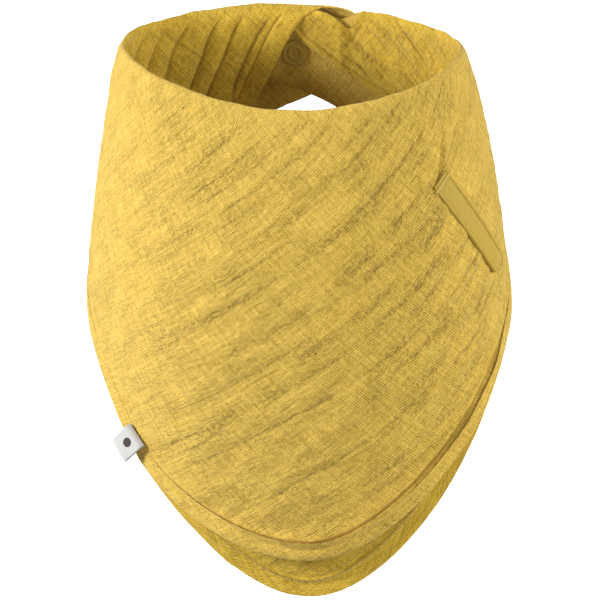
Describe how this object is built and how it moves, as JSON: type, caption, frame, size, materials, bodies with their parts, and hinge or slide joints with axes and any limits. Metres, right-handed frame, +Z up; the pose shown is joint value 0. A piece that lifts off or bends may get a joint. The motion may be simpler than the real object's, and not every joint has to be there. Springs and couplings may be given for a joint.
{
  "type": "bandana bib",
  "caption": "Triangular two-layer muslin bandana bib snapped closed round the neck, with a soother strap on its front and a folded side label.",
  "frame": {"origin": "middle of the neck opening, level with the sides of the neck fold", "axes": "+Z up along the wearer's neck, the bib's front faces -Y, +X to the right of someone facing the bib"},
  "size_m": [0.1918, 0.1526, 0.2261],
  "materials": {
    "muslin": "crinkled cotton double gauze, matte",
    "muslin_lining": "crinkled cotton double gauze, matte",
    "thread": "matching sewing thread",
    "satin_ribbon": "satin-woven ribbon, soft sheen",
    "snap_plastic": "moulded, satin",
    "label_ribbon": "woven white ribbon, matte"
  },
  "bodies": {
    "bib": {"outer_panel": "muslin", "lining_panel": "muslin_lining", "outer_hem_stitching": "thread", "lining_hem_stitching": "thread", "lining_hem_stitching_inside": "thread", "side_label": "label_ribbon", "soother_strap_tab": "satin_ribbon", "soother_strap_bar_tack": "thread", "soother_socket": "snap_plastic"},
    "left_strap": {"left_strap": "muslin", "left_strap_stitching": "thread", "closure_socket": "snap_plastic", "closure_outer_cap": "snap_plastic"},
    "right_strap": {"right_strap": "muslin", "right_strap_lining": "muslin_lining", "right_strap_stitching": "thread", "closure_inner_cap": "snap_plastic", "closure_stud": "snap_plastic"},
    "soother_strap": {"soother_strap": "satin_ribbon", "soother_strap_stitching": "thread", "soother_stud": "snap_plastic"}
  },
  "joints": [
    {"name": "left_strap_fold", "type": "hinge", "parent": "bib", "child": "left_strap", "pos_m": [-0.04031, 0.05457, -0.02663], "axis": [-0.034, 0, 0.9994], "range_deg": [0, 100]},
    {"name": "right_strap_fold", "type": "hinge", "parent": "bib", "child": "right_strap", "pos_m": [0.03556, 0.04579, -0.02652], "axis": [0.034, 0, -0.9994], "range_deg": [0, 22]},
    {"name": "soother_strap_fold", "type": "hinge", "parent": "bib", "child": "soother_strap", "pos_m": [0.06305, -0.05416, -0.0467], "axis": [-0.5624, -0.6317, -0.5335], "range_deg": [0, 110]}
  ],
  "couplings": [
    {"joint": "right_strap_fold", "follows": "left_strap_fold", "ratio": 0.22}
  ]
}
